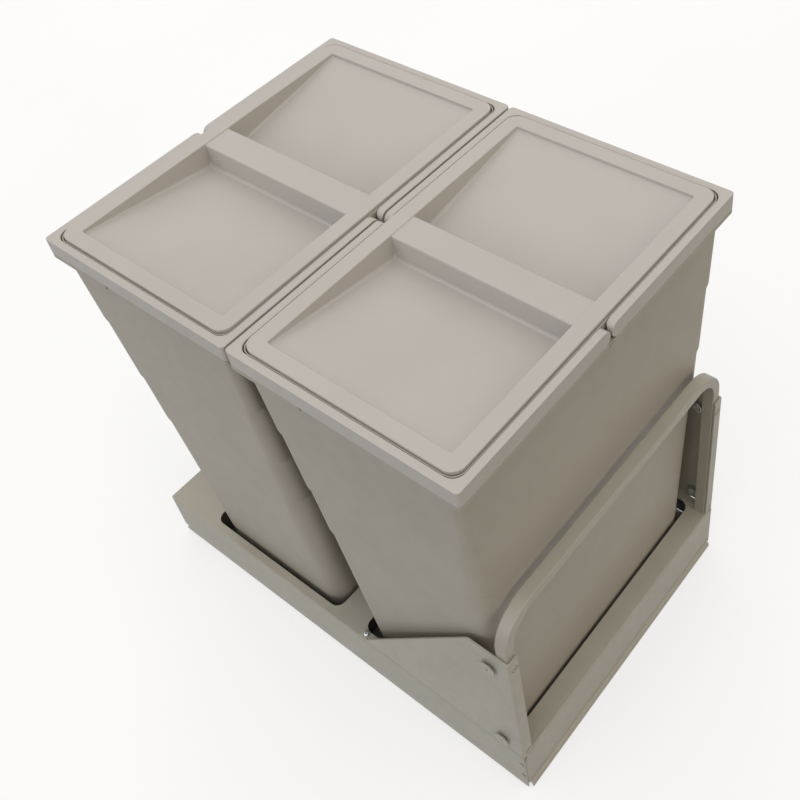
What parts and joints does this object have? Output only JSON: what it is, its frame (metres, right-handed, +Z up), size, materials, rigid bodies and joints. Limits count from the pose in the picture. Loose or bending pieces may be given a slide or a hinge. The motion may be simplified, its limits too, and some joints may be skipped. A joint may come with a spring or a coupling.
{
  "type": "pull-out waste bin unit",
  "caption": "Pull-out waste bin unit: folded steel tray on full-extension slides, lidded tapered bins with swing-up bails, door brackets and a bent front rail.",
  "frame": {"origin": "on the cabinet floor, below the middle of the unit's bounding box", "axes": "+X across the cabinet to the right seen from the door, +Y into the cabinet, +Z up"},
  "size_m": [0.346, 0.5054, 0.493],
  "materials": {
    "painted_steel": "satin powder coat, warm grey",
    "bin_plastic": "fine moulded texture, warm grey",
    "lid_plastic": "fine moulded texture, light warm grey",
    "zinc_steel": "bright zinc plate",
    "painted_head": "painted over with the sheet"
  },
  "bodies": {
    "base": {"rail_left": "painted_steel", "rail_right": "painted_steel", "base_front_bar": "painted_steel", "base_rear_bar": "painted_steel", "slide_outer_left": "zinc_steel", "slide_outer_right": "zinc_steel", "floor_screw_left_1": "zinc_steel", "floor_screw_left_2": "zinc_steel", "floor_screw_right_1": "zinc_steel", "floor_screw_right_2": "zinc_steel"},
    "mid_left": {"slide_mid_left": "zinc_steel"},
    "mid_right": {"slide_mid_right": "zinc_steel"},
    "outer_cage_left": {"cage_outer_left": "zinc_steel"},
    "outer_cage_right": {"cage_outer_right": "zinc_steel"},
    "inner_cage_left": {"cage_inner_left": "zinc_steel"},
    "inner_cage_right": {"cage_inner_right": "zinc_steel"},
    "carriage": {"deck_tray": "painted_steel", "bin_pan": "painted_steel", "pan_hanger": "painted_steel", "slide_inner_left": "zinc_steel", "slide_inner_right": "zinc_steel", "bracket_left": "painted_steel", "bracket_right": "painted_steel", "front_rail": "painted_steel", "corner_rivet_left_1": "painted_head", "corner_rivet_left_2": "painted_head", "corner_rivet_right_1": "painted_head", "corner_rivet_right_2": "painted_head", "rail_screw_left_1": "painted_head", "rail_screw_left_2": "painted_head", "rail_screw_right_1": "painted_head", "rail_screw_right_2": "painted_head", "disc_bolt_left_1": "painted_head", "disc_bolt_left_2": "painted_head", "disc_bolt_right_1": "painted_head", "disc_bolt_right_2": "painted_head", "nut_left_1": "zinc_steel", "nut_left_2": "zinc_steel", "nut_right_1": "zinc_steel", "nut_right_2": "zinc_steel", "deck_screw_left": "zinc_steel", "deck_screw_right": "zinc_steel"},
    "front_bin": {"bin_front": "bin_plastic"},
    "front_lid": {"lid_front": "lid_plastic"},
    "front_bail_left": {"bail_front_left": "lid_plastic"},
    "front_bail_right": {"bail_front_right": "lid_plastic"},
    "rear_bin": {"bin_rear": "bin_plastic"},
    "rear_lid": {"lid_rear": "lid_plastic"},
    "rear_bail_left": {"bail_rear_left": "lid_plastic"},
    "rear_bail_right": {"bail_rear_right": "lid_plastic"}
  },
  "joints": [
    {"name": "carriage_slide", "type": "slide", "parent": "base", "child": "carriage", "axis": [0, -1, 0], "range_m": [0, 0.45]},
    {"name": "mid_left_slide", "type": "slide", "parent": "base", "child": "mid_left", "axis": [0, -1, 0], "range_m": [0, 0.225]},
    {"name": "mid_right_slide", "type": "slide", "parent": "base", "child": "mid_right", "axis": [0, -1, 0], "range_m": [0, 0.225]},
    {"name": "outer_cage_left_slide", "type": "slide", "parent": "base", "child": "outer_cage_left", "axis": [0, -1, 0], "range_m": [0, 0.1125]},
    {"name": "outer_cage_right_slide", "type": "slide", "parent": "base", "child": "outer_cage_right", "axis": [0, -1, 0], "range_m": [0, 0.1125]},
    {"name": "inner_cage_left_slide", "type": "slide", "parent": "base", "child": "inner_cage_left", "axis": [0, -1, 0], "range_m": [0, 0.3375]},
    {"name": "inner_cage_right_slide", "type": "slide", "parent": "base", "child": "inner_cage_right", "axis": [0, -1, 0], "range_m": [0, 0.3375]},
    {"name": "bin_front_lift", "type": "slide", "parent": "carriage", "child": "front_bin", "axis": [0, 0, 1], "range_m": [0, 0.32]},
    {"name": "bin_rear_lift", "type": "slide", "parent": "carriage", "child": "rear_bin", "axis": [0, 0, 1], "range_m": [0, 0.32]},
    {"name": "lid_front_lift", "type": "slide", "parent": "front_bin", "child": "front_lid", "axis": [0, 0, 1], "range_m": [0, 0.12]},
    {"name": "lid_rear_lift", "type": "slide", "parent": "rear_bin", "child": "rear_lid", "axis": [0, 0, 1], "range_m": [0, 0.12]},
    {"name": "bail_front_left_hinge", "type": "hinge", "parent": "front_bin", "child": "front_bail_left", "pos_m": [-0.0087, -0.1297, 0.48325], "axis": [0, 1, 0], "range_deg": [0, 90]},
    {"name": "bail_front_right_hinge", "type": "hinge", "parent": "front_bin", "child": "front_bail_right", "pos_m": [0.0087, -0.1297, 0.48325], "axis": [0, -1, 0], "range_deg": [0, 90]},
    {"name": "bail_rear_left_hinge", "type": "hinge", "parent": "rear_bin", "child": "rear_bail_left", "pos_m": [-0.0087, 0.0945, 0.48325], "axis": [0, 1, 0], "range_deg": [0, 90]},
    {"name": "bail_rear_right_hinge", "type": "hinge", "parent": "rear_bin", "child": "rear_bail_right", "pos_m": [0.0087, 0.0945, 0.48325], "axis": [0, -1, 0], "range_deg": [0, 90]}
  ],
  "couplings": [
    {"joint": "mid_left_slide", "follows": "carriage_slide", "ratio": 0.5},
    {"joint": "mid_right_slide", "follows": "carriage_slide", "ratio": 0.5},
    {"joint": "outer_cage_left_slide", "follows": "carriage_slide", "ratio": 0.25},
    {"joint": "outer_cage_right_slide", "follows": "carriage_slide", "ratio": 0.25},
    {"joint": "inner_cage_left_slide", "follows": "carriage_slide", "ratio": 0.75},
    {"joint": "inner_cage_right_slide", "follows": "carriage_slide", "ratio": 0.75}
  ]
}
